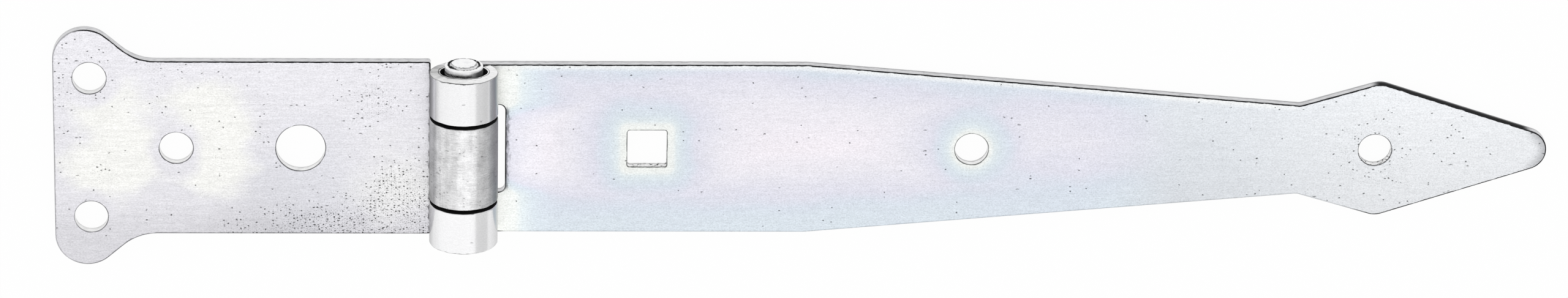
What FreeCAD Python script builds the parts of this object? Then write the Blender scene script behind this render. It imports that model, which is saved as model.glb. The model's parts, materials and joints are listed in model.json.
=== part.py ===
import FreeCAD, Part
import math
import os

from FreeCAD import Vector

# Heavy strap hinge of three pieces, in millimetres: a mounting plate, a long tapered strap and the pin
# that joins them. Both leaves are stamped from one gauge of steel sheet, and their tongues are rolled
# round the pin into three knuckles: the plate has the middle one, the strap the two outer ones.
# Frame: the hinge lies open on its back. +X runs along the strap, +Y along the pin, +Z out of the
# mounting surface. The origin is on that surface, under the pin's axis, at the middle of the barrel.

# Sheet
sheet = 2.5                     # thickness of both leaves
edge_break = 0.25               # stamped edges, broken all round by tumbling before plating
hole_break = 0.15               # drawn-in edge of a punched hole, on the front

# Barrel
barrel_radius = 8.0             # outside of the rolled knuckles
seam_gap = 0.5                  # between the end of a rolled tongue and the front of its own leaf
middle_knuckle = 20.4           # length of the plate's knuckle along the pin
knuckle_gap = 0.8               # on each side of the middle knuckle

# Pin
pin_running_clearance = 0.06    # radial, inside the middle knuckle
pin_shoulder_depth = 2.0        # from a knuckle's rim down to the pin's shoulder
pin_end_radius = 4.45           # turned-down end that stands out of the barrel
pin_head_height = 2.3           # top end above the upper rim
pin_tail_height = 1.0           # bottom end below the lower rim
pin_edge_break = 0.65           # chamfer of the turned-down end, across
pin_edge_drop = 0.3             # the same chamfer, along the pin
pin_land_width = 0.5            # flat ring round the crown
pin_groove_depth = 0.15         # step from that ring down to the crown's foot
pin_crown_height = 0.6          # height of the crown that peening leaves

# Mounting plate
plate_reach = 95.5              # pin axis to the plate's far end
plate_width = 43.6
plate_shoulder = 7.7            # pin axis to the shoulders on either side of the tongue
shoulder_round = 0.6
tongue_relief_round = 0.7
ear_overhang = 7.9              # how far each ear stands out past the straight side
flare_ear_radius = 7.5
flare_waist_radius = 12.0       # hollow curve from each ear back to the straight side
flare_flank_angle = 41.0        # degrees, from the long side

screw_hole_radius = 3.9         # all five small round holes
ear_hole_inset = 8.5            # far end to the pair of ear holes
ear_hole_spacing = 35.0
centre_hole_inset = 28.5        # far end to the single screw hole
bolt_hole_radius = 5.75
bolt_hole_inset = 57.5          # far end to the large hole

# Strap
strap_reach = 254.5             # pin axis to the strap's nose
strap_width = 42.4
strap_straight = 80.0           # pin axis to the start of the taper
slot_reach = 9.7                # pin axis to the far edge of the slot that clears the middle knuckle
slot_corner_round = 1.5
taper_corner_round = 6.0
spear_length = 39.8             # nose back to the widest place of the spear point
spear_width = 33.6
spear_round = 5.0
barb_length = 18.7              # widest place back to the neck
neck_width = 22.4
neck_round = 3.0
nose_radius = 5.0

square_hole_side = 9.2          # takes the square neck of a carriage bolt
square_hole_corner = 0.6
square_hole_centre = 42.9       # from the pin axis
spear_hole_inset = 40.5         # nose back to the round hole in the spear point
strap_hole_spacing = 95.0       # between the two round holes

# Sizes that follow
bore_radius = barrel_radius - sheet
barrel_half = middle_knuckle / 2 + knuckle_gap
strap_half = strap_width / 2
plate_half = plate_width / 2
roll_angle = 270 + math.degrees(math.asin((barrel_radius - sheet - seam_gap) / barrel_radius))
pin_centre = Vector(0, 0, barrel_radius)
PIN_AXIS = Vector(0, 1, 0)
OUT = Vector(0, 0, 1)


def toward(start, end):
    """Unit vector from one point to another."""
    step = end - start
    return step * (1 / step.Length)


def rounded_outline(corners):
    """Closed wire through (x, y, radius) corners in the mounting plane, each rounded by its own arc."""
    points = [Vector(x, y, 0) for x, y, radius in corners]
    count = len(corners)
    runs = []
    for i in range(count):
        corner, radius = points[i], corners[i][2]
        back = toward(corner, points[i - 1])
        ahead = toward(corner, points[(i + 1) % count])
        half = back.getAngle(ahead) / 2
        if radius == 0:
            runs.append((corner, None, corner))
            continue
        inward = toward(Vector(0, 0, 0), back + ahead)
        set_back = radius / math.tan(half)
        apex = corner + inward * (radius / math.sin(half) - radius)
        runs.append((corner + back * set_back, apex, corner + ahead * set_back))
    edges = []
    for i in range(count):
        first, apex, last = runs[i]
        if apex:
            edges.append(Part.Arc(first, apex, last).toShape())
        edges.append(Part.LineSegment(last, runs[(i + 1) % count][0]).toShape())
    return Part.Wire(edges)


def mirrored(half_outline):
    """The corners of one long side, followed by the same corners on the other side in reverse."""
    return half_outline + [(x, -y, radius) for x, y, radius in reversed(half_outline) if y]


def on_joint_plane(edge):
    """True for an edge in the plane through the pin's axis, where a tongue starts to roll."""
    return all(abs(vertex.X) < 1e-6 for vertex in edge.Vertexes)


def flat_leaf(corners):
    """Sheet blank with broken edges all round, except where its tongues go on into the knuckles."""
    blank = Part.Face(rounded_outline(corners)).extrude(OUT * sheet)
    rim = [edge for edge in blank.Edges if abs(edge.tangentAt(edge.FirstParameter).z) < 0.5]
    return blank.makeChamfer(edge_break, [edge for edge in rim if not on_joint_plane(edge)])


def knuckle(low, high, direction):
    """Tongue between two places along the pin, rolled round it: +1 starts towards -X, -1 towards +X."""
    back, front = 0, sheet
    section = Part.makePolygon([Vector(0, y, z) for y, z in (
        (low + edge_break, back), (high - edge_break, back), (high, back + edge_break), (high, front - edge_break),
        (high - edge_break, front), (low + edge_break, front), (low, front - edge_break), (low, back + edge_break),
        (low + edge_break, back),
    )])
    return Part.Face(section).revolve(pin_centre, PIN_AXIS * direction, roll_angle)


def punched(leaf, hole):
    """Leaf with one hole punched from the front, whose upper edge is drawn in a little."""
    punch = hole.extrude(OUT * sheet)
    cut = leaf.cut(punch)
    reach = punch.BoundBox
    reach.enlarge(hole_break)
    mouth = [edge for edge in cut.Edges if in_front_face(edge) and reach.isInside(edge.BoundBox)]
    return cut.makeChamfer(hole_break, mouth)


def in_front_face(edge):
    """True for an edge that lies in the front face of a leaf."""
    return all(abs(vertex.Z - sheet) < 1e-6 for vertex in edge.Vertexes) and edge.BoundBox.ZLength < 1e-3


def round_hole(x, y, radius):
    """Face of a round hole, in the mounting plane."""
    return Part.Face(Part.Wire(Part.makeCircle(radius, Vector(x, y, 0))))


def square_hole(x, side, corner):
    """Face of a square hole with small corner radii, in the mounting plane."""
    half = side / 2
    turns = ((-1, 1), (1, 1), (1, -1), (-1, -1))
    return Part.Face(rounded_outline([(x + half * u, half * v, corner) for u, v in turns]))


def make_mounting_plate():
    """Plate with two ears at its far end, and one tongue rolled into the middle knuckle."""
    end = -plate_reach
    ear_x = end + flare_ear_radius
    ear_y = plate_half + ear_overhang - flare_ear_radius
    flank = math.radians(flare_flank_angle)
    touch_x = ear_x + flare_ear_radius * math.sin(flank)
    touch_y = ear_y + flare_ear_radius * math.cos(flank)
    ear_tip = touch_y + (touch_x - end) * math.tan(flank)
    waist_x = touch_x + (touch_y - plate_half) / math.tan(flank)
    side = [
        (end, ear_tip, flare_ear_radius),
        (waist_x, plate_half, flare_waist_radius),
        (-plate_shoulder, plate_half, shoulder_round),
        (-plate_shoulder, middle_knuckle / 2, tongue_relief_round),
        (0, middle_knuckle / 2, 0),
    ]
    leaf = flat_leaf(mirrored(side))
    for x, y, radius in (
        (end + ear_hole_inset, ear_hole_spacing / 2, screw_hole_radius),
        (end + ear_hole_inset, -ear_hole_spacing / 2, screw_hole_radius),
        (end + centre_hole_inset, 0, screw_hole_radius),
        (end + bolt_hole_inset, 0, bolt_hole_radius),
    ):
        leaf = punched(leaf, round_hole(x, y, radius))
    half = middle_knuckle / 2
    return leaf.fuse(knuckle(-half, half, -1)).removeSplitter()


def make_strap():
    """Tapered strap with a spear point, and two tongues rolled into the outer knuckles."""
    spear_x = strap_reach - spear_length
    spear_half = spear_width / 2
    nose_run = spear_length - nose_radius
    point_angle = math.atan2(spear_half, nose_run) - math.asin(nose_radius / math.hypot(nose_run, spear_half))
    side = [
        (0, strap_half, 0),
        (strap_straight, strap_half, taper_corner_round),
        (spear_x - barb_length, neck_width / 2, neck_round),
        (spear_x, spear_half, spear_round),
        (spear_x + spear_half / math.tan(point_angle), 0, nose_radius),
    ]
    slot = [(0, -barrel_half, 0), (slot_reach, -barrel_half, slot_corner_round)]
    slot += [(x, -y, radius) for x, y, radius in reversed(slot)]
    leaf = flat_leaf(mirrored(side) + slot)
    leaf = punched(leaf, square_hole(square_hole_centre, square_hole_side, square_hole_corner))
    spear_hole = strap_reach - spear_hole_inset
    for x in (spear_hole - strap_hole_spacing, spear_hole):
        leaf = punched(leaf, round_hole(x, 0, screw_hole_radius))
    upper = knuckle(barrel_half, strap_half, 1)
    lower = knuckle(-strap_half, -barrel_half, 1)
    return leaf.fuse([upper, lower]).removeSplitter()


def make_hinge_pin():
    """Pin pressed into the outer knuckles, free in the middle one, with turned-down ends peened to a crown."""
    press = bore_radius
    running = bore_radius - pin_running_clearance
    step = middle_knuckle / 2 + knuckle_gap / 2
    shoulder = strap_half - pin_shoulder_depth
    crown_radius = pin_end_radius - pin_edge_break - pin_land_width

    def end_profile(rim, side):
        """Outline of one end from the shoulder to the crown; side is +1 at the top and -1 at the bottom."""
        foot = rim - side * pin_groove_depth
        top = foot + side * pin_crown_height
        crown_arc_radius = (crown_radius**2 + pin_crown_height**2) / (2 * pin_crown_height)
        half_way = top - side * (crown_arc_radius - math.sqrt(crown_arc_radius**2 - crown_radius**2 / 4))
        p = [Vector(r, y, barrel_radius) for r, y in (
            (press, side * shoulder),
            (pin_end_radius, side * shoulder),
            (pin_end_radius, rim - side * pin_edge_drop),
            (pin_end_radius - pin_edge_break, rim),
            (crown_radius, rim),
            (crown_radius, foot),
            (crown_radius / 2, half_way),
            (0, top),
        )]
        return Part.makePolygon(p[:6]).Edges + [Part.Arc(p[5], p[6], p[7]).toShape()], p[7]

    head, head_top = end_profile(strap_half + pin_head_height, 1)
    tail, tail_top = end_profile(-strap_half - pin_tail_height, -1)
    shank = Part.makePolygon([Vector(r, y, barrel_radius) for r, y in (
        (press, shoulder), (press, step), (running, step), (running, -step), (press, -step), (press, -shoulder),
    )]).Edges
    spine = Part.LineSegment(head_top, tail_top).toShape()
    outline = Part.Wire(Part.__sortEdges__(head + tail + shank + [spine]))
    return Part.Face(outline).revolve(pin_centre, PIN_AXIS, 360)


os.makedirs("parts", exist_ok=True)
for node, shape in (
    ("mounting_plate", make_mounting_plate()),
    ("strap", make_strap()),
    ("hinge_pin", make_hinge_pin()),
):
    shape.Solids[0].exportStep("parts/" + node + ".step")
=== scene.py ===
import json
import math

import bmesh
import bpy
from mathutils import Matrix, Quaternion, Vector, noise


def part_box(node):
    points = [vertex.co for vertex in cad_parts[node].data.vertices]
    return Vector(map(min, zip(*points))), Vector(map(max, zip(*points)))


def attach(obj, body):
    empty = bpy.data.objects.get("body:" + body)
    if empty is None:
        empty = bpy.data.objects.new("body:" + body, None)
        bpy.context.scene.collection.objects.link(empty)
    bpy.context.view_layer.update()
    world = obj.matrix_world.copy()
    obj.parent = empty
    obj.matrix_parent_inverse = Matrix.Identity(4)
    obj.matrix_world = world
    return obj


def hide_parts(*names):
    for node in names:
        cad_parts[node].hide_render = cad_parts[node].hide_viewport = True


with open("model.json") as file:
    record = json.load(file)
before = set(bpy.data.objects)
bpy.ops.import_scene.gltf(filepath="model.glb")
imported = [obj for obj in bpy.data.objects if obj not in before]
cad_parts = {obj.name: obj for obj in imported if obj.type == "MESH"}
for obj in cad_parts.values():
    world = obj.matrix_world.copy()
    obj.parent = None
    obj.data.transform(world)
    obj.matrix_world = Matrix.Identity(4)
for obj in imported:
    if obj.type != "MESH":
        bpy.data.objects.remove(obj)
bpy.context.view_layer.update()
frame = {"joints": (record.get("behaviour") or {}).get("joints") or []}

# Mounting plate: one stamping of 2.5 mm steel sheet with two ears at its far end and four punched
# holes. Its single tongue is rolled round the pin into the middle knuckle, and the whole leaf is
# bright zinc plated, which leaves cream and lavender clouds, rolling streaks and small dark pits.
mm = 1000                       # millimetres in a metre
sheet = 0.0025
edge_round = 0.00025            # broken edge of a stamping
mouth_round = 0.00015           # drawn-in mouth of a punched hole
break_out = 0.00008             # how much wider a hole is where the punch came out, at the back
edge_line = 0.00018             # depth below each face over which an edge turns into a wall
edge_border = 0.00012           # flat strip beside an edge, where its dark line fades out
spare = 0.002                   # cut off where a tongue starts to roll
edge_start = 0.3                # mark where the flat ends: 0 is flat and 1 is wall
wall_margin = 0.0001            # last ring of a hole's plain wall, short of the edge's turn
arc_step = math.radians(6)
round_rings = 4
hole_segments = 72
knuckle_steps = 88
seam_gap = 0.0005
pin_height = frame["joints"][0]["pos_m"][2]
barrel_radius = pin_height      # the leaves' backs are tangent to the barrel
bore_radius = barrel_radius - sheet
roll_angle = 1.5 * math.pi + math.asin((barrel_radius - sheet - seam_gap) / barrel_radius)

plate_low, plate_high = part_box("mounting_plate")
plate_end = plate_low.x
ear_radius = 0.0075
waist_radius = 0.012
flank = math.radians(41)        # slope of each ear's flank, from the long side
plate_half = 0.0218
plate_shoulder = -0.0077
middle_half = 0.0102            # half the length of the middle knuckle
ear_hole = 0.0085               # far end to the pair of ear holes
ear_hole_half = 0.0175
centre_hole = 0.0285
bolt_hole = 0.0575
screw_hole_radius = 0.0039
bolt_hole_radius = 0.00575
shoulder_round = 0.0006
root_round = 0.0007             # where the tongue leaves the shoulder
end_wear = 0.00010              # about the most that a sheared knuckle end stands back
wear_patches = 4                # patches of wear in each radian round the pin
outer_spread = 0.0356           # how much a knuckle's end spreads for each metre that the roll rises
bore_spread = 0.0313            # how much more it spreads at the bore
just_past = 1e-5                # what a comparison of places allows for
same_point = 1e-7               # points closer than this are one
level_face = 0.9999             # how straight up or down the normal of a flat face points


def trace(bm, corners, closed=True):
    """A line through corners (x, y, radius), with each radius spun about its own centre."""
    ends = []
    for index, (x, y, radius) in enumerate(corners):
        corner = Vector((x, y, 0))
        start = end = bm.verts.new(corner)
        if radius:
            before = Vector((*corners[index - 1][:2], 0))
            after = Vector((*corners[(index + 1) % len(corners)][:2], 0))
            inward, outward = (corner - before).normalized(), (after - corner).normalized()
            turn = math.atan2(inward.cross(outward).z, inward.dot(outward))
            start.co = corner - inward * radius * math.tan(abs(turn) / 2)
            centre = start.co + Vector((-inward.y, inward.x, 0)) * math.copysign(radius, turn)
            steps = max(2, math.ceil(abs(turn) / arc_step))
            arc = bmesh.ops.spin(bm, geom=[start], cent=centre, axis=(0, 0, 1), angle=turn, steps=steps)
            end = next(item for item in arc["geom_last"] if isinstance(item, bmesh.types.BMVert))
        ends.append((start, end))
    following = ends[1:] + ends[:1] if closed else ends[1:]
    for (_, end), (start, _) in zip(ends, following):
        bm.edges.new((end, start))


def fill(bm, edges, side):
    """Fills closed lines with flat faces. Filling takes points under 0.03 units apart as one: hence mm."""
    bmesh.ops.scale(bm, verts=bm.verts[:], vec=(mm, mm, mm))
    filled = bmesh.ops.triangle_fill(bm, use_beauty=True, edges=edges, normal=side)["geom"]
    bmesh.ops.scale(bm, verts=bm.verts[:], vec=(1 / mm, 1 / mm, 1 / mm))
    return [item for item in filled if isinstance(item, bmesh.types.BMFace)]


def round_rim(bm, region):
    """Rounds the rim of a flat region: every ring is a narrow inset that also rises a little."""
    turns = [step * math.pi / 2 / round_rings for step in range(round_rings + 1)]
    for low, high in zip(turns, turns[1:]):
        inward = edge_round * (math.cos(low) - math.cos(high))
        upward = edge_round * (math.sin(high) - math.sin(low))
        bmesh.ops.inset_region(
            bm, faces=region, use_boundary=True, use_even_offset=True, thickness=inward, depth=upward)
    bmesh.ops.inset_region(bm, faces=region, use_boundary=True, use_even_offset=True, thickness=edge_border)


def punch(bm, x, y, half, corner=None):
    """The wall of a round hole, or of a square one with rounded corners, drawn up from back to front."""
    stations = [
        (break_out + edge_border, 0), (break_out, 0), (0, 3 * break_out),
        (0, sheet - edge_line - wall_margin), (0, sheet - mouth_round)]
    for step in (1, 2, 3):
        turn = step * math.pi / 6
        stations.append((mouth_round * (1 - math.cos(turn)), sheet - mouth_round * (1 - math.sin(turn))))
    stations.append((mouth_round + edge_border, sheet))
    known = set(bm.edges)
    if corner:
        square = ((-1, 1), (1, 1), (1, -1), (-1, -1))
        trace(bm, [(x + u * half, y + v * half, corner) for u, v in square])
    else:
        middle = Matrix.Translation((x, y, 0))
        bmesh.ops.create_circle(bm, segments=hole_segments, radius=half, matrix=middle)
    loop = [edge for edge in bm.edges if edge not in known]
    reach, level = half, 0
    for grow, height in stations:
        if grow != stations[0][0] or height:
            loop = [item for item in bmesh.ops.extrude_edge_only(bm, edges=loop)["geom"]
                    if isinstance(item, bmesh.types.BMEdge) and item.is_boundary]
        verts = list({vert for edge in loop for vert in edge.verts})
        ratio = (half + grow) / reach
        bmesh.ops.scale(bm, verts=verts, vec=(ratio, ratio, 1), space=Matrix.Translation((-x, -y, 0)))
        bmesh.ops.translate(bm, verts=verts, vec=(0, 0, height - level))
        reach, level = half + grow, height


def stamp(outline, holes):
    """A flat blank with its rim rounded on both faces, punched, and marked where it is edge or wall."""
    bm = bmesh.new()
    edge_mark = bm.verts.layers.float.new("edge")
    hole_mark = bm.verts.layers.float.new("hole")
    trace(bm, outline)
    lines = bm.edges[:]
    bmesh.ops.translate(bm, verts=bm.verts[:], vec=(0, 0, edge_round))
    back = fill(bm, lines, (0, 0, -1))
    wall = bmesh.ops.extrude_edge_only(bm, edges=lines)["geom"]
    raised = [item for item in wall if isinstance(item, bmesh.types.BMVert)]
    bmesh.ops.translate(bm, verts=raised, vec=(0, 0, sheet - 2 * edge_round))
    rim = [item for item in wall if isinstance(item, bmesh.types.BMEdge) and item.is_boundary]
    front = fill(bm, rim, (0, 0, 1))
    round_rim(bm, back)
    round_rim(bm, front)
    bmesh.ops.delete(bm, geom=back + front, context="FACES")
    outer = set(bm.verts)
    for hole in holes:
        punch(bm, *hole)
    for vert in bm.verts:
        vert[hole_mark] = vert not in outer
        depth = max(0, min(vert.co.z, sheet - vert.co.z))
        vert[edge_mark] = edge_start + (1 - edge_start) * min(1, depth / edge_line)
    open_edges = [edge for edge in bm.edges if edge.is_boundary]
    for side in (-1, 1):
        level = [edge for edge in open_edges if (edge.verts[0].co.z - sheet / 2) * side > 0]
        for face in fill(bm, level, (0, 0, side)):
            for vert in face.verts:
                vert[edge_mark] = 0
    bmesh.ops.recalc_face_normals(bm, faces=bm.faces[:])
    return bm


def roll_tongues(bm, direction):
    """Cuts the tongues off at the pin's plane and rolls them on round it: +1 first towards -X."""
    everything = bm.verts[:] + bm.edges[:] + bm.faces[:]
    cut = bmesh.ops.bisect_plane(
        bm, geom=everything, dist=same_point, plane_co=(0, 0, 0), plane_no=(-direction, 0, 0),
        clear_outer=True)
    section = [item for item in cut["geom_cut"] if isinstance(item, bmesh.types.BMEdge)]
    pin_centre = Vector((0, 0, pin_height))
    rolled = bmesh.ops.spin(
        bm, geom=section, cent=pin_centre, axis=(0, direction, 0), angle=roll_angle, steps=knuckle_steps)
    last = [item for item in rolled["geom_last"] if isinstance(item, bmesh.types.BMEdge)]
    fill(bm, last, (0, 0, 0))
    bmesh.ops.recalc_face_normals(bm, faces=bm.faces[:])


def shape_knuckle_ends(bm, direction, ends):
    """Wears the sheared ends, and spreads those listed with a share, most of all on the bore's side."""
    for vert in bm.verts:
        x, y, z = vert.co
        if x * direction > -just_past and z < sheet + just_past:
            continue
        turned = math.atan2(-direction * x, pin_height - z)
        rise = barrel_radius * (1 - math.cos(turned))
        depth = (barrel_radius - math.hypot(x, z - pin_height)) / sheet
        for end, outward, spread in ends:
            if abs(y - end) < 2 * edge_round:
                around = Vector((math.cos(turned), math.sin(turned), 100 * end)) * wear_patches
                wear = end_wear * (0.5 + noise.noise(around))
                vert.co.y += outward * (spread * rise * (outer_spread + bore_spread * depth) - wear)


def finish_piece(bm, name, node, body, material):
    """Turns the mesh into a shaded object that stands for its node."""
    for face in bm.faces:
        height = face.calc_center_median().z
        face.smooth = not (abs(face.normal.z) > level_face and height < sheet + edge_round)
    mesh = bpy.data.meshes.new(name)
    bm.to_mesh(mesh)
    bm.free()
    piece = bpy.data.objects.new(name, mesh)
    bpy.context.scene.collection.objects.link(piece)
    mesh.materials.append(material)
    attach(piece, body)
    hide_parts(node)


def screen(red, green, blue):
    """A colour as a screen shows it, out of 255, in the shader's own terms."""
    return tuple(((part / 255 + 0.055) / 1.055) ** 2.4 for part in (red, green, blue)) + (1,)


# Black of the painted shade in bores, gaps and the pin's groove, also used for torn marks.
shade_and_tear_black = screen(16, 16, 18)
# Grey of the painted shade along the edges, also used for the burr at the bores' mouths.
edge_shade_grey = screen(40, 40, 42)
# Grey of the painted shade along the plate's shoulder beside the barrel.
shoulder_shade_grey = screen(60, 60, 62)
wall_grey = screen(218, 218, 220)
light_wall = screen(246, 246, 246)
knuckle_zinc = screen(243, 243, 244)
# Colour of the painted highlight on the rounded edge at each bore's mouth.
highlight_zinc = screen(250, 250, 250)


class Steps:
    """Builds a node tree step by step; each step gives an output for the next."""

    def __init__(self, tree):
        self.tree = tree

    def step(self, kind, inputs=(), output=0, **settings):
        """Adds a node; an input is a value, or the output of another node."""
        node = self.tree.nodes.new("ShaderNode" + kind)
        for name, value in settings.items():
            setattr(node, name, value)
        for socket, value in inputs.items() if isinstance(inputs, dict) else enumerate(inputs):
            if isinstance(value, bpy.types.NodeSocket):
                self.tree.links.new(value, node.inputs[socket])
            else:
                node.inputs[socket].default_value = value
        return node.outputs[output]

    def split(self, vector):
        node = self.step("SeparateXYZ", [vector]).node
        return node.outputs[0], node.outputs[1], node.outputs[2]

    def join(self, x, y, z):
        return self.step("CombineXYZ", [x, y, z])

    def length(self, vector):
        return self.step("VectorMath", [vector], output="Value", operation="LENGTH")

    def maths(self, operation, *values):
        return self.step("Math", values, operation=operation)

    def size(self, value):
        """A number without its sign."""
        return self.maths("ABSOLUTE", value)

    def beyond(self, value, reach):
        """How far a number is past a reach, on either side of nought."""
        return self.maths("MAXIMUM", self.less(self.size(value), reach), 0.0)

    def plus(self, *values):
        total = values[0]
        for value in values[1:]:
            total = self.maths("ADD", total, value)
        return total

    def less(self, a, b):
        return self.maths("SUBTRACT", a, b)

    def times(self, *values):
        total = values[0]
        for value in values[1:]:
            total = self.maths("MULTIPLY", total, value)
        return total

    def most(self, *values):
        total = values[0]
        for value in values[1:]:
            total = self.maths("MAXIMUM", total, value)
        return total

    def fade(self, value, start, end, first=0.0, last=1.0):
        """Eases from first to last while the value goes from start to end."""
        return self.step("MapRange", [value, start, end, first, last], interpolation_type="SMOOTHSTEP")

    def over(self, share, below, above):
        """Lays one colour over another by a share."""
        return self.step("Mix", {0: share, 6: below, 7: above}, output=2, data_type="RGBA")

    def between(self, share, a, b):
        """A number that goes from a to b by a share."""
        return self.step("Mix", {0: share, 2: a, 3: b}, data_type="FLOAT")

    def ramp(self, value, stops):
        """A colour that runs through stops of (place, colour) from 0 to 1."""
        node = self.step("ValToRGB", [value]).node
        ramp = node.color_ramp
        ramp.elements[0].position, ramp.elements[0].color = stops[0]
        ramp.elements[1].position, ramp.elements[1].color = stops[-1]
        for position, colour in stops[1:-1]:
            ramp.elements.new(position).color = colour
        return node.outputs["Color"]


class Finish(Steps):
    """One metal finish on a piece, in millimetres from the hinge's origin."""

    def __init__(self, name):
        self.material = bpy.data.materials.new(name)
        self.material.use_nodes = True
        super().__init__(self.material.node_tree)
        self.shader = self.tree.nodes["Principled BSDF"]
        metres = self.step("TexCoord", output="Object")
        self.place = self.step("VectorMath", {0: metres, "Scale": mm}, operation="SCALE")
        self.x, self.y, self.z = self.split(self.place)
        above_pin = self.less(self.z, pin_height * mm)
        self.from_pin = self.length(self.join(self.x, 0.0, above_pin))
        self.turned = self.maths("DEGREES", self.maths("ARCTAN2", self.x, above_pin))

    def cells(self, size, shift, place=None):
        """The place counted in cells of this many mm along x, y and z. A shift keeps two marks apart."""
        scale = [1 / part for part in size]
        location = (shift, shift, shift)
        return self.step("Mapping", {"Vector": place or self.place, "Location": location, "Scale": scale})

    def cloud(self, size, detail=1.0, place=None, shift=0.0):
        """Noise around nought."""
        grid = self.cells(size, shift, place)
        return self.less(self.step("TexNoise", {"Vector": grid, "Scale": 1.0, "Detail": detail}), 0.5)

    def specks(self, size, share, shift=0.0):
        """Small irregular marks in plan, one at most in each cell, in this share of the cells."""
        grid = self.cells(size, shift)
        cell = self.step("TexVoronoi", {"Vector": grid, "Scale": 1.0}, voronoi_dimensions="2D").node
        drawn = self.maths("LESS_THAN", self.step("SeparateColor", [cell.outputs["Color"]]), share)
        ragged = self.cloud([part / 2.2 for part in size], detail=2.0, shift=shift + 5)
        reach = self.plus(cell.outputs["Distance"], self.times(ragged, 0.9))
        return self.times(drawn, self.fade(reach, 0.27, 0.13))

    def shaded(self, colour, factor):
        """A colour multiplied by a number."""
        return self.step("VectorMath", {0: colour, "Scale": factor}, operation="SCALE")

    def away_from(self, x, y, stretch=1.0):
        """Distance from a place on the leaf in plan, with y counted more by the stretch."""
        return self.length(self.join(self.less(self.x, x), self.times(self.less(self.y, y), stretch), 0.0))

    def dress(self, inputs, height):
        """Links the shader's inputs, and a bump made from a height in mm."""
        normal = self.step("Bump", {"Height": self.times(height, 1 / mm), "Distance": 1.0}, output="Normal")
        for name, value in {**inputs, "Normal": normal}.items():
            self.tree.links.new(value, self.shader.inputs[name])
        return self.material


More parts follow.
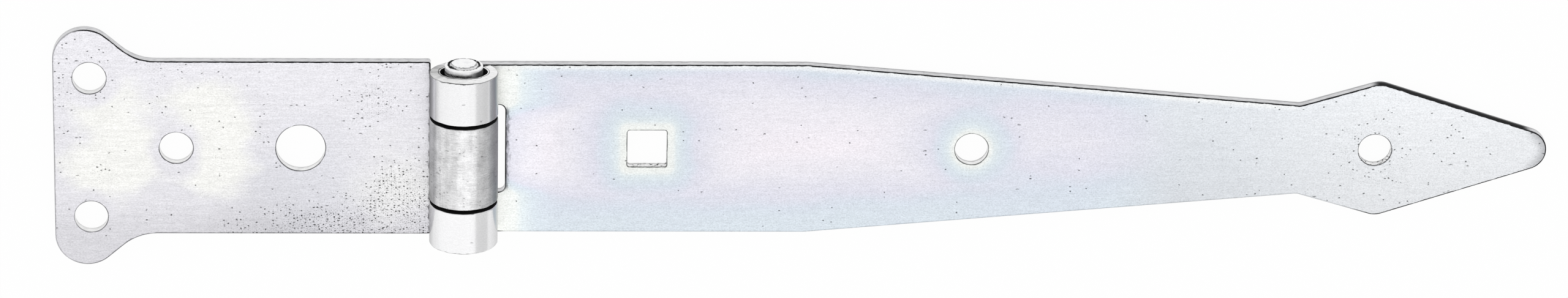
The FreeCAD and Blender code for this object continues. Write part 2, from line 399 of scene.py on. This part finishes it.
class Plating(Finish):
    """Bright zinc on a stamped and rolled leaf, with the marks that its flats and knuckles share."""

    def __init__(self, name, pit_share):
        super().__init__(name)
        self.edge = self.step("Attribute", output="Fac", attribute_name="edge")
        self.hole = self.step("Attribute", output="Fac", attribute_name="hole")
        self.rolled = self.fade(self.z, 2.6, 3.4)
        self.past_bore = self.less(self.from_pin, bore_radius * mm)
        self.bore_side = self.times(self.rolled, self.fade(self.past_bore, 0.36, 0.26))
        self.lowest = self.fade(self.y, -10.4, -10.9, 0.0, 0.8)

        degree = 0.14           # length of one degree round the barrel
        around = self.join(self.times(self.turned, degree), self.y, self.from_pin)
        self.grain = self.cloud((0.40, 0.27, 0.4))
        self.stroke = self.cloud((2.2, 0.22, 1.0), detail=1.5, shift=1)
        self.bands = self.cloud((1.3, 30, 9), detail=2.0, place=around)
        self.blotch = self.cloud((2.6, 3.2, 3), detail=3.0, shift=9)
        self.pit_share = pit_share(self)
        self.pits = self.specks((0.95, 0.70, 0.9), self.times(self.pit_share, 0.75))
        self.nicks = self.specks((2.0, 0.7, 0.9), self.between(self.rolled, 0.003, 0.012), shift=17)

    def flat_colour(self, film, strokes):
        """The film's colour, broken by grain, rolling strokes, pits, small faint pits and nicks."""
        streak = self.cloud((14, 0.8, 3), detail=2.0)
        faint = self.specks((0.5, 0.36, 0.5), self.plus(0.12, self.pit_share), shift=3)
        faint = self.times(faint, self.plus(0.16, self.times(self.pit_share, 0.8)))
        tone = self.plus(
            1.0, self.times(self.grain, 0.46), self.times(self.stroke, strokes),
            self.times(streak, strokes * 0.6), self.times(faint, -1.0), self.times(self.pits, -0.75),
            self.times(self.nicks, -0.6))
        return self.shaded(film(self), tone)

    def knuckle_colour(self, knuckle_shade, marks):
        """Light zinc, with painted shade and reflection by degrees round the pin from straight up. The lowest
        knuckle is nearly even.
        """
        tone = self.plus(
            1.0, self.times(self.bands, 0.35 * marks), self.times(self.blotch, 0.55 * marks),
            self.times(self.stroke, 0.45 * marks), self.times(self.grain, 0.14 + 0.3 * marks),
            self.times(self.nicks, -0.4), self.times(self.pits, -0.35 * marks))
        # Painted shade and reflection: the knuckle's colour is scaled by a listed share for each angle round
        # the pin.
        round_shade = self.ramp(self.plus(self.times(self.turned, 1 / 360), 0.5), [
            (0.5 + degrees / 360, (value, value, value, 1)) for degrees, value in knuckle_shade])
        round_shade = self.over(self.lowest, round_shade, (1, 1, 1, 1))
        return self.step("VectorMath", [self.shaded(knuckle_zinc[:3], tone), round_shade], operation="MULTIPLY")

    def wall_colour(self, torn_line):
        """Mottled sheared wall, lighter in holes and on knuckles, with a torn line near the back."""
        mottle = self.fade(self.cloud((1.8, 1.8, 0.6), detail=2.0, shift=2), -0.25, 0.12, 0.84, 1.0)
        level = self.plus(self.z, self.times(self.cloud((1.6, 1.6, 9.0), detail=2.0, shift=7), 0.9))
        torn = self.times(self.fade(level, 0.15, 0.5), self.fade(level, 1.1, 0.75), -torn_line)
        colour = self.over(self.most(self.hole, self.rolled), wall_grey, light_wall)
        return self.shaded(colour, self.plus(mottle, torn))

    def edge_shade_lines(self, edge_share):
        """Painted shade in ragged lines where flats turn into walls, and a dark burr round the mouth of each
        knuckle's bore.
        """
        rough = self.cloud((1.4, 1.4, 0.7), detail=3.0, shift=4)
        ragged = self.plus(self.edge, self.times(rough, 0.9, self.fade(self.edge, 0.0, 0.12)))
        starts = self.between(self.rolled, 0.08, 0.30)
        is_full = self.between(self.rolled, 0.28, 0.55)
        onto_wall = self.plus(self.edge, self.times(rough, 0.25))
        outer_end = self.fade(self.size(self.y), 19.0, 20.0)
        frontmost = self.fade(self.size(self.plus(self.x, 1.2)), 2.5, 5.0, 1.0, 0.45)
        line = self.times(
            self.fade(ragged, starts, is_full), self.fade(onto_wall, 1.0, 0.86),
            self.between(self.hole, 1.0, 0.8), self.less(1.0, self.bore_side),
            self.between(self.rolled, edge_share(self), self.times(outer_end, frontmost)))
        mouth = self.plus(self.past_bore, self.times(self.cloud((1.2, 1.2, 1.2), detail=3.0, shift=6), 0.5))
        burr = self.times(self.fade(mouth, 0.28, 0.36), self.fade(mouth, 0.58, 0.48))
        burr = self.times(burr, self.rolled, self.fade(self.edge, 0.8, 1.0))
        return self.most(line, self.times(burr, 0.9))

    def blackened(self, shade_and_tears):
        """Painted shade, black, in the bores and in the gaps between the knuckles, and what the leaf adds on
        its walls: on the strap, painted shadow and torn marks.
        """
        inside = self.fade(self.past_bore, 0.12, 0.04)
        gap = self.times(self.fade(self.edge, 0.75, 0.95), self.fade(self.size(self.y), 11.5, 11.2))
        dark = self.times(self.most(inside, gap), self.fade(self.z, 2.52, 2.7))
        if shade_and_tears:
            dark = self.most(dark, self.times(shade_and_tears(self), self.fade(self.edge, 0.3, 0.8)))
        return dark


def plated(name, film, pit_share, edge_share, knuckle_shade, strokes, torn_line, left_shade_tint, knuckle_gloss,
           knuckle_marks, shade_and_tears=None):
    """The zinc of one leaf: a film on the flats, smooth knuckles and sheared walls, with painted shade along
    the edges, round the knuckles, in the bores and gaps, and a painted highlight at the bores' mouths.
    """
    leaf = Plating(name, pit_share)
    colour = leaf.over(
        leaf.rolled, leaf.flat_colour(film, strokes), leaf.knuckle_colour(knuckle_shade, knuckle_marks))
    colour = leaf.over(leaf.fade(leaf.edge, 0.85, 1.0), colour, leaf.wall_colour(torn_line))
    # Painted shade along the edges, and the dark burr at the bores' mouths.
    colour = leaf.over(leaf.edge_shade_lines(edge_share), colour, edge_shade_grey)
    # Painted highlight on the rounded edge at the mouth of each bore.
    chamfer = leaf.times(leaf.bore_side, leaf.fade(leaf.edge, 0.2, 0.4))
    colour = leaf.over(chamfer, colour, highlight_zinc)
    # Painted shade: black in the bores and gaps, and on the strap a painted shadow along the point's flank,
    # with torn marks in two holes.
    dark = leaf.blackened(shade_and_tears)
    colour = leaf.over(dark, colour, shade_and_tear_black)

    # Painted shade: on the knuckles the reflection is tinted darker on the left, by degrees round the pin,
    # and nearer an even level on the lowest knuckle.
    tint = leaf.between(leaf.lowest, leaf.fade(leaf.turned, -30.0, 20.0, left_shade_tint, 1.0), 0.7)
    tint = leaf.between(leaf.rolled, 1.0, tint)
    dull_patches = leaf.cloud((3, 3, 3), detail=2.0, shift=6)
    gloss = leaf.plus(0.34, leaf.times(dull_patches, 0.25), leaf.times(leaf.pits, 0.2))
    gloss = leaf.between(leaf.rolled, gloss, leaf.plus(knuckle_gloss, leaf.times(leaf.blotch, 0.12)))
    height = leaf.plus(
        leaf.times(leaf.grain, 0.004), leaf.times(leaf.stroke, 0.003), leaf.times(leaf.pits, -0.015),
        leaf.times(leaf.rolled, leaf.times(leaf.bands, 0.010 * knuckle_marks)))
    return leaf.dress({
        "Base Color": colour, "Roughness": leaf.most(gloss, dark), "Metallic": leaf.less(1.0, dark),
        "Specular Tint": tint}, height)


def plate_film(finish):
    """Lavender, greyer low down, with two joined cream clouds, a faint one beside the barrel, and painted
    shade along the shoulder.
    """
    drift = finish.times(finish.cloud((13, 9, 9), detail=3.0, shift=3), 18.0)
    far_cloud = finish.less(finish.away_from(-81.0, -1.0, 0.72), 10.5)
    near_cloud = finish.less(finish.away_from(-58.5, 3.0, 0.60), 8.5)
    clouds = finish.maths("SMOOTH_MIN", far_cloud, near_cloud, 9.0)
    centre_ring = finish.less(finish.away_from((plate_end + centre_hole) * mm, -0.5, 0.85), 5.2)
    ear_rings = [
        finish.less(finish.away_from((plate_end + ear_hole) * mm, side * ear_hole_half * mm), 6.0)
        for side in (1, -1)]
    rings = finish.maths("MINIMUM", centre_ring, finish.maths("MINIMUM", *ear_rings))
    cream = finish.fade(finish.plus(clouds, drift), 3.5, -3.5)
    cream = finish.times(cream, finish.fade(finish.plus(rings, finish.times(drift, 0.3)), -0.8, 2.2))
    faint = finish.fade(finish.plus(finish.away_from(-15.0, -8.0, 1.1), drift), 15.0, 3.0, 0.0, 0.55)
    cool = finish.fade(finish.plus(finish.away_from(-37.0, -10.0), drift), 22.0, 5.0)
    # Darker towards the bottom, and most round a patch by the lower edge.
    low = finish.fade(finish.y, -13.0, -21.5, 0.0, 0.075)
    low_patch = finish.fade(finish.plus(finish.away_from(-46.0, -22.0), drift), 22.0, 2.0, 0.0, 0.08)
    level = finish.less(finish.plus(0.97, finish.times(finish.y, 0.0022)), finish.plus(low, low_patch))
    colour = finish.over(cool, screen(232, 231, 236), screen(227, 227, 233))
    colour = finish.shaded(colour, level)
    colour = finish.over(finish.most(cream, faint), colour, screen(242, 242, 239))
    # Painted shade: a ragged dark line on the front along the shoulder, where the barrel shades the plate's
    # end.
    ragged = finish.times(finish.cloud((0.7, 1.6, 0.7), detail=3.0, shift=12), 1.2)
    shoulder_shade = finish.times(
        finish.fade(finish.plus(finish.x, ragged), -8.25, -7.95), finish.fade(finish.x, -7.2, -7.5),
        finish.fade(finish.z, 1.0, 1.5), 0.8)
    return finish.over(shoulder_shade, colour, shoulder_shade_grey)


def plate_lines(finish):
    """The painted edge shade is weaker along the lower edge and at the far end than elsewhere."""
    lower_edge = finish.fade(finish.y, -19.0, -21.0, 1.0, 0.7)
    return finish.times(lower_edge, finish.fade(finish.x, -88.0, -92.0, 1.0, 0.5))


def plate_pits(finish):
    """Pits crowd the corner below the barrel, gather in a few clusters, and are rare elsewhere."""
    drift = finish.times(finish.cloud((6, 5, 5), detail=2.0), 34.0)
    crowd = finish.fade(finish.plus(finish.away_from(-12.0, -18.0, 1.2), drift), 26.0, 2.0, 0.0, 0.60)
    border = finish.fade(finish.plus(finish.away_from(-30.0, -22.0, 2.6), drift), 30.0, 6.0, 0.0, 0.60)
    cluster = finish.plus(finish.away_from(-20.5, 12.0), finish.times(drift, 0.3))
    cluster = finish.fade(cluster, 9.0, 2.0, 0.0, 0.36)
    ear = finish.fade(finish.away_from(-90.0, 18.0), 13.0, 5.0, 0.0, 0.16)
    patches = finish.fade(finish.cloud((7, 5, 5), detail=2.0, shift=11), 0.02, 0.22, 0.015, 0.16)
    return finish.most(crowd, border, cluster, ear, patches)


ear_x = plate_end + ear_radius
ear_y = plate_high.y - ear_radius
touch_x = ear_x + ear_radius * math.sin(flank)
touch_y = ear_y + ear_radius * math.cos(flank)
ear_tip = touch_y + (touch_x - plate_end) * math.tan(flank)
waist_x = touch_x + (touch_y - plate_half) / math.tan(flank)
half_plate = [
    (plate_end, ear_tip, ear_radius),
    (waist_x, plate_half, waist_radius),
    (plate_shoulder, plate_half, shoulder_round),
    (plate_shoulder, middle_half, root_round),
    (spare, middle_half, 0),
]
plate_outline = half_plate + [(x, -y, radius) for x, y, radius in reversed(half_plate)]
plate_holes = [
    (plate_end + ear_hole, ear_hole_half, screw_hole_radius),
    (plate_end + ear_hole, -ear_hole_half, screw_hole_radius),
    (plate_end + centre_hole, 0, screw_hole_radius),
    (plate_end + bolt_hole, 0, bolt_hole_radius),
]
plate = stamp(plate_outline, plate_holes)
roll_tongues(plate, -1)
shape_knuckle_ends(plate, -1, ((middle_half, 1, 0), (-middle_half, -1, 0)))

# Painted shade and reflection on the middle knuckle, as a share of its colour, by degrees round the pin from
# straight up.
plate_knuckle_shade = [
    (-75, 0.72), (-66, 0.66), (-59, 0.60), (-50, 0.74), (-40, 0.80), (-28, 0.72), (-15, 0.74),
    (-8, 0.90), (10, 0.96), (20, 0.92), (27, 0.74), (45, 0.62), (60, 0.38), (75, 0.30)]
plate_zinc = plated(
    "plate_zinc", plate_film, plate_pits, plate_lines, plate_knuckle_shade, strokes=0.26, torn_line=0.12,
    left_shade_tint=0.45, knuckle_gloss=0.42, knuckle_marks=1.2)
finish_piece(plate, "stamped_plate", "mounting_plate", "plate", plate_zinc)

# Strap: one stamping of the same sheet, straight and then tapered to a spear point. It is punched
# with a square hole for a carriage bolt and two screw holes, and its two tongues are rolled into the
# outer knuckles. Its zinc shows pastel film colours that follow the distance from holes and edges.
strap_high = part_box("strap")[1]
strap_end = strap_high.x
strap_half = strap_high.y
strap_straight = 0.080
taper_round = 0.006
slot_reach = 0.0097
slot_half = 0.011
slot_round = 0.0015
spear_length = 0.0398
spear_half = 0.0168
barb_length = 0.0187
spear_round = 0.005
neck_half = 0.0112
neck_round = 0.003
nose_radius = 0.005
square_hole = 0.0429
square_half = 0.0046
square_round = 0.0006
spear_hole_inset = 0.0405
strap_hole_spacing = 0.095

spear_hole = strap_end - spear_hole_inset
middle_hole = spear_hole - strap_hole_spacing
wide_x = strap_end - spear_length
neck_x = wide_x - barb_length
to_nose = Vector((strap_end - nose_radius - wide_x, spear_half))
nose_slope = math.atan2(to_nose.y, to_nose.x) - math.asin(nose_radius / to_nose.length)
nose_apex = wide_x + spear_half / math.tan(nose_slope)

half_strap = [
    (-spare, strap_half, 0),
    (strap_straight, strap_half, taper_round),
    (neck_x, neck_half, neck_round),
    (wide_x, spear_half, spear_round),
]
slot_line = [
    (-spare, -slot_half, 0),
    (slot_reach, -slot_half, slot_round),
    (slot_reach, slot_half, slot_round),
    (-spare, slot_half, 0),
]
nose = [(nose_apex, 0, nose_radius)]
strap_outline = half_strap + nose + [(x, -y, radius) for x, y, radius in reversed(half_strap)] + slot_line


def strap_film(finish):
    """Interference colours by distance from holes and edges: cream, pale blue, lavender, pink or grey, with
    painted shade at the nose and beside the slot.
    """
    x, y = finish.x, finish.y
    drift = finish.times(finish.cloud((22, 12, 9), detail=3.0, shift=7), 9.0)
    half = finish.step("MapRange", [
        x, strap_straight * mm, neck_x * mm, strap_half * mm, neck_half * mm])
    from_top = finish.less(half, y)
    from_bottom = finish.maths("MAXIMUM", finish.plus(half, y), 0.0)
    lower = finish.times(finish.maths("POWER", from_bottom, 2.0), 0.045)
    side = finish.maths("SMOOTH_MIN", finish.times(from_top, 0.95), lower, 4.0)
    side = finish.plus(finish.times(side, finish.fade(x, 100.0, 130.0, 1.0, 0.55)), 4.2)
    beside = finish.beyond(finish.less(x, square_hole * mm), square_half * mm)
    square = finish.length(finish.join(beside, finish.beyond(y, square_half * mm), 0.0))
    from_middle = finish.less(finish.away_from(middle_hole * mm, 0.0), screw_hole_radius * mm)
    outer_half = finish.size(y)
    barrel = finish.times(finish.less(x, 9.5), finish.fade(outer_half, 6.0, 13.0, 1.0, 0.55))
    barrel = finish.plus(barrel, finish.fade(outer_half, 4.0, 12.0, 8.0, 0.0))
    reach = finish.maths("SMOOTH_MIN", square, finish.plus(from_middle, 0.8), 3.0)
    reach = finish.maths("SMOOTH_MIN", reach, barrel, 2.0)
    reach = finish.maths("SMOOTH_MIN", reach, side, 3.0)
    reach = finish.plus(0.5, reach, finish.times(drift, finish.fade(reach, 1.5, 9.0)))
    film = finish.ramp(finish.maths("DIVIDE", reach, 26.0), [
        (0.00, screen(239, 241, 237)),
        (0.075, screen(236, 239, 237)),
        (0.11, screen(223, 231, 234)),
        (0.16, screen(216, 225, 232)),
        (0.22, screen(215, 222, 232)),
        (0.30, screen(222, 222, 233)),
        (0.55, screen(232, 230, 237)),
        (0.90, screen(240, 235, 241)),
    ])
    film = finish.shaded(film, finish.fade(x, 12.5, 25.0, 1.09, 1.0))
    across = finish.plus(x, drift)
    grey = finish.over(finish.fade(across, 168.0, 222.0), screen(219, 223, 228), screen(231, 233, 236))
    grey = finish.shaded(grey, finish.plus(1.0, finish.times(y, 0.0045)))
    film = finish.over(finish.fade(across, 148.0, 170.0), film, grey)
    top_rim = finish.times(finish.fade(from_top, 1.9, 0.5), finish.fade(x, 200.0, 190.0), 0.7)
    film = finish.over(top_rim, film, screen(246, 247, 246))

    # Painted shade: soft grey just inside the rounded nose, and a ragged dark band on the front beside the
    # slot, where the barrel shades the strap.
    tip = strap_end * mm
    tip_shade = finish.fade(finish.away_from(tip - nose_radius * mm, 0.0), 1.8, 5.0)
    tip_shade = finish.times(tip_shade, finish.fade(x, tip - 6, tip - 2), 0.45)
    ragged = finish.times(finish.cloud((0.6, 1.4, 0.6), detail=3.0, shift=12), 2.4)
    past_slot = finish.plus(finish.size(finish.less(x, slot_reach * mm)), ragged)
    slot_shade = finish.times(
        finish.fade(past_slot, 1.3, 0.2), finish.fade(outer_half, 11.0, 9.5),
        finish.fade(finish.z, 1.0, 1.5), 0.75)
    return finish.over(finish.most(tip_shade, slot_shade), film, screen(90, 90, 94))


def strap_lines(finish):
    """The painted edge shade along the lower edge is faint as far as the spear point."""
    low = finish.times(finish.fade(finish.y, -7.0, -9.5), finish.fade(finish.x, 214.0, 206.0))
    return finish.less(1.0, finish.times(low, finish.fade(finish.x, 8.0, 10.0), 0.75))


def strap_flank_shade_and_tears(finish):
    """Painted shadow blackens the sheared edge along the point's upper flank; the walls of two of the holes
    are torn.
    """
    # Painted shadow on the sheared wall along the point's upper flank, stronger towards the front face.
    along = finish.times(finish.fade(finish.x, 212.0, 214.5), finish.fade(finish.x, 251.5, 248.5))
    towards_front = finish.fade(finish.z, 0.0, 1.3, 0.25, 1.0)
    along = finish.times(along, finish.fade(finish.y, 0.5, 2.0), towards_front)
    tears = finish.fade(finish.cloud((0.9, 0.5, 0.6), detail=3.0, shift=21), 0.03, 0.15, 0.0, 0.85)
    holes = finish.most(
        finish.fade(finish.away_from(square_hole * mm, 0.0), 7.4, 7.0),
        finish.fade(finish.away_from(spear_hole * mm, 0.0), 4.7, 4.4))
    return finish.most(along, finish.times(tears, holes))


def strap_pits(finish):
    """Pits are few on the strap's straight part and more on its spear point."""
    patches = finish.fade(finish.cloud((8, 6, 5), detail=2.0, shift=2), 0.0, 0.28, 0.008, 0.06)
    patches = finish.times(patches, finish.fade(finish.x, 165.0, 215.0, 1.0, 3.0))
    near_hole = finish.fade(finish.away_from(spear_hole * mm, 0.0), 14.0, 5.0, 0.0, 0.12)
    return finish.plus(patches, near_hole)


strap = stamp(strap_outline, [
    (square_hole, 0, square_half, square_round),
    (middle_hole, 0, screw_hole_radius),
    (spear_hole, 0, screw_hole_radius),
])
roll_tongues(strap, 1)
strap_ends = ((strap_half, 1, 1), (slot_half, -1, 0), (-slot_half, 1, 0), (-strap_half, -1, 0.15))
shape_knuckle_ends(strap, 1, strap_ends)

# Painted shade and reflection on the outer knuckles, as a share of their colour, by degrees round the pin
# from straight up.
strap_knuckle_shade = [
    (-80, 0.80), (-72, 0.65), (-66, 0.68), (-60, 0.88), (-57, 0.90), (-55, 0.74), (-52, 0.90),
    (-25, 0.95), (0, 0.98), (28, 0.96), (45, 0.86), (56, 0.52), (65, 0.34), (76, 0.46)]
strap_zinc = plated(
    "strap_zinc", strap_film, strap_pits, strap_lines, strap_knuckle_shade, strokes=0.16, torn_line=0.36,
    left_shade_tint=0.25, knuckle_gloss=0.20, knuckle_marks=0.12, shade_and_tears=strap_flank_shade_and_tears)
finish_piece(strap, "stamped_strap", "strap", "strap", strap_zinc)

# Hinge pin: turned steel rod through all three knuckles, with a press land in each of the strap's.
# Both ends are turned down and peened to low crowns, each inside a ragged groove and a bright chamfer.
pin_low, pin_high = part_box("hinge_pin")
land_radius = bore_radius - 0.00002     # pressed into the strap's knuckles
running_radius = bore_radius - 0.00006  # turns freely in the plate's knuckle
end_radius = 0.00445
chamfer_foot = 0.0003
crown_flat = 0.0027             # radius of the flattened top of the crown
crown_fall = 0.00006            # how much lower the flat is at its edge than in the middle
crown_height = 0.00045          # from the rim outside the groove up to the top
crown_round = 0.0003
groove_lip = 0.00005            # how far the groove's inner lip stands below the rim
groove_inner = 0.0033
groove_outer = 0.0038
groove_depth = 0.0003
groove_slope = 0.00012          # width of each side of the groove
groove_round = 0.00008
turned_round = 0.0001
shoulder = strap_half - 0.002
dents = 1300                    # hammer dents to the metre
dent_depth = 0.00008
dent_border = 0.0004            # strip beside the chamfer that has no dents
dent_middle = 0.001             # radius within which the dents get shallower towards the middle
land_end = (middle_half + slot_half) / 2
pin_steps = 96


def end_corners(top, side):
    """Corners (radius, place along the pin, rounding) of one end, from its crown down to its shoulder."""
    rim = top - side * crown_height
    return [
        (0, top, 0),
        (crown_flat, top - side * crown_fall, crown_round),
        (groove_inner, rim - side * groove_lip, turned_round),
        (groove_inner + groove_slope, rim - side * groove_depth, groove_round),
        (groove_outer - groove_slope, rim - side * groove_depth, groove_round),
        (groove_outer, rim, groove_round),
        (end_radius, rim - side * chamfer_foot, turned_round),
        (end_radius, side * shoulder, turned_round),
        (land_radius, side * shoulder, turned_round),
    ]


def pin_finish():
    """Clean turned zinc with a near-white crown, and painted shade: a ragged dark line and a black groove
    round the crown, a dark right side on each end, and a black shank in the bore.
    """
    finish = Finish("pin_zinc")
    ragged = finish.cloud((0.9, 0.9, 0.9), detail=3.0)
    rings = finish.cloud((40, 0.25, 40), detail=2.0, shift=8)
    patches = finish.plus(finish.cloud((1.2, 1.2, 1.2), detail=3.0, shift=3), 0.5)
    colour = finish.ramp(patches, [(0.3, screen(240, 240, 242)), (0.6, screen(252, 252, 252))])
    colour = finish.shaded(colour, finish.plus(1.0, finish.times(rings, 0.2)))
    place = finish.plus(finish.from_pin, finish.times(ragged, 0.8))
    flank = finish.times(finish.fade(place, 2.85, 3.0), finish.fade(place, 3.3, 3.2))
    colour = finish.over(finish.times(flank, 0.4), colour, screen(176, 176, 178))
    # Painted shade: a ragged dark line round the crown's flat, a black groove that is wider on the left, a
    # dark right side on each end below its rim, and a black shank inside the barrel.
    lip = finish.times(finish.fade(place, 2.80, 2.88), finish.fade(place, 3.02, 2.94), 0.6)
    on_left = finish.fade(finish.turned, -10.0, -60.0)
    groove = finish.times(
        finish.fade(place, finish.between(on_left, 3.3, 3.0), finish.between(on_left, 3.5, 3.3)),
        finish.fade(place, 3.95, 3.75))
    past_top = finish.less(finish.y, pin_high.y * mm)
    past_tail = finish.less(pin_low.y * mm, finish.y)
    past_end = finish.most(past_top, past_tail)
    at_end = finish.fade(past_end, -1.1, -0.9)
    shaded_side = finish.times(finish.fade(finish.x, 0.8, 3.4), finish.fade(past_end, -0.95, -1.4), 0.9)
    in_barrel = finish.fade(finish.size(finish.y), 22.0, 21.3)
    black = finish.most(finish.times(finish.most(lip, groove), at_end), shaded_side, in_barrel)
    colour = finish.over(black, colour, shade_and_tear_black)
    gloss = finish.plus(0.28, finish.times(ragged, 0.2))
    height = finish.plus(finish.times(ragged, 0.002), finish.times(rings, 0.001))
    return finish.dress({
        "Base Color": colour, "Roughness": finish.most(gloss, black),
        "Metallic": finish.less(1.0, black)}, height)


pin = bmesh.new()
head = end_corners(pin_high.y, 1)
tail = end_corners(pin_low.y, -1)
shank = [
    (land_radius, land_end, 0), (running_radius, land_end, 0),
    (running_radius, -land_end, 0), (land_radius, -land_end, 0),
]
trace(pin, head + shank + tail[::-1], closed=False)
bmesh.ops.translate(pin, verts=pin.verts[:], vec=(0, 0, pin_height))
bmesh.ops.spin(
    pin, geom=pin.verts[:] + pin.edges[:], cent=(0, 0, pin_height), axis=(0, 1, 0), angle=2 * math.pi,
    steps=pin_steps, use_merge=True)
bmesh.ops.remove_doubles(pin, verts=pin.verts[:], dist=same_point)
for vert in pin.verts:
    radius = math.hypot(vert.co.x, vert.co.z - pin_height)
    if radius < end_radius - dent_border and abs(vert.co.y) > shoulder:
        dent = noise.noise(vert.co * dents) * dent_depth * min(1, radius / dent_middle)
        vert.co.y -= math.copysign(abs(dent), vert.co.y)
bmesh.ops.recalc_face_normals(pin, faces=pin.faces[:])
finish_piece(pin, "turned_pin", "hinge_pin", "strap", pin_finish())

# Studio: a white paper floor under one broad soft light that covers the sky. It is full overhead and
# on the left, weaker on the right, and a little weaker beyond the pin's taller end, as with softboxes.
floor_reach = 3
floor_level = -0.0001           # a hair below the leaves, so that their backs don't lie in the same plane
paper_white = 0.9
paper_glow = 0.96               # share of plain white in what the camera sees of the paper
light_level = 1.06
right_share = 0.70              # light from the right, as a share of the light from overhead
beyond_share = 0.8              # light from beyond the pin's taller end
backdrop = 0.97                 # what the camera sees past the paper
floor_mesh = bpy.data.meshes.new("floor")
quarters = ((-1, -1), (1, -1), (1, 1), (-1, 1))
floor_corners = [(x * floor_reach, y * floor_reach, floor_level) for x, y in quarters]
floor_mesh.from_pydata(floor_corners, [], [(0, 1, 2, 3)])
floor = bpy.data.objects.new("floor", floor_mesh)
bpy.context.scene.collection.objects.link(floor)
paper = bpy.data.materials.new("white_paper")
paper.use_nodes = True
paper_steps = Steps(paper.node_tree)
shader = paper.node_tree.nodes["Principled BSDF"]
shader.inputs["Base Color"].default_value = (paper_white, paper_white, paper_white, 1)
shader.inputs["Roughness"].default_value = 1.0
rays = paper_steps.step("LightPath").node.outputs
direct = paper_steps.plus(rays["Is Camera Ray"], rays["Is Glossy Ray"], rays["Is Transmission Ray"])
share = paper_steps.times(direct, paper_glow)
glow = paper_steps.step("Emission", {"Color": (1, 1, 1, 1), "Strength": 1.0})
surface = paper_steps.step("MixShader", [share, shader.outputs["BSDF"], glow])
paper.node_tree.links.new(surface, paper.node_tree.nodes["Material Output"].inputs["Surface"])
floor_mesh.materials.append(paper)

world = bpy.data.worlds.new("studio")
bpy.context.scene.world = world
world.use_nodes = True
sky = Steps(world.node_tree)
toward_x, toward_y, toward_z = sky.split(sky.step("TexCoord", output="Generated"))
to_right = sky.maths("DEGREES", sky.maths("ARCTAN2", toward_x, toward_z))
light = sky.times(
    sky.fade(to_right, 39.0, 43.0, 1.0, right_share), sky.fade(toward_y, 0.1, 0.5, 1.0, beyond_share),
    light_level)
seen = sky.step("LightPath").node.outputs["Is Camera Ray"]
background = world.node_tree.nodes["Background"]
background.inputs["Color"].default_value = (1, 1, 1, 1)
sky.tree.links.new(sky.between(seen, light, backdrop), background.inputs["Strength"])

# Camera: a long lens from about 1.8 m, 23 degrees off the leaves' normal on the pin's taller side.
camera_data = bpy.data.cameras.new("camera")
camera = bpy.data.objects.new("camera", camera_data)
bpy.context.scene.collection.objects.link(camera)
tilt = Quaternion((1, 0, 0), math.radians(-22.8))
turn = Quaternion((0, 1, 0), math.radians(-2.6))
roll = Quaternion((0, 0, 1), math.radians(0.1))
distance = 1.79
aim_right = 0.0750              # middle of the picture, from the hinge's origin
aim_up = -0.0011
rotation = (tilt @ turn @ roll).to_matrix()
right, up, back = rotation.col
aim = right * aim_right + up * aim_up
camera.matrix_world = rotation.to_4x4()
camera.location = aim + back * distance
camera_data.sensor_width = 36
camera_data.lens = 175.6
camera_data.clip_end = 20
bpy.context.scene.camera = camera

bpy.context.scene.view_settings.view_transform = "Standard"
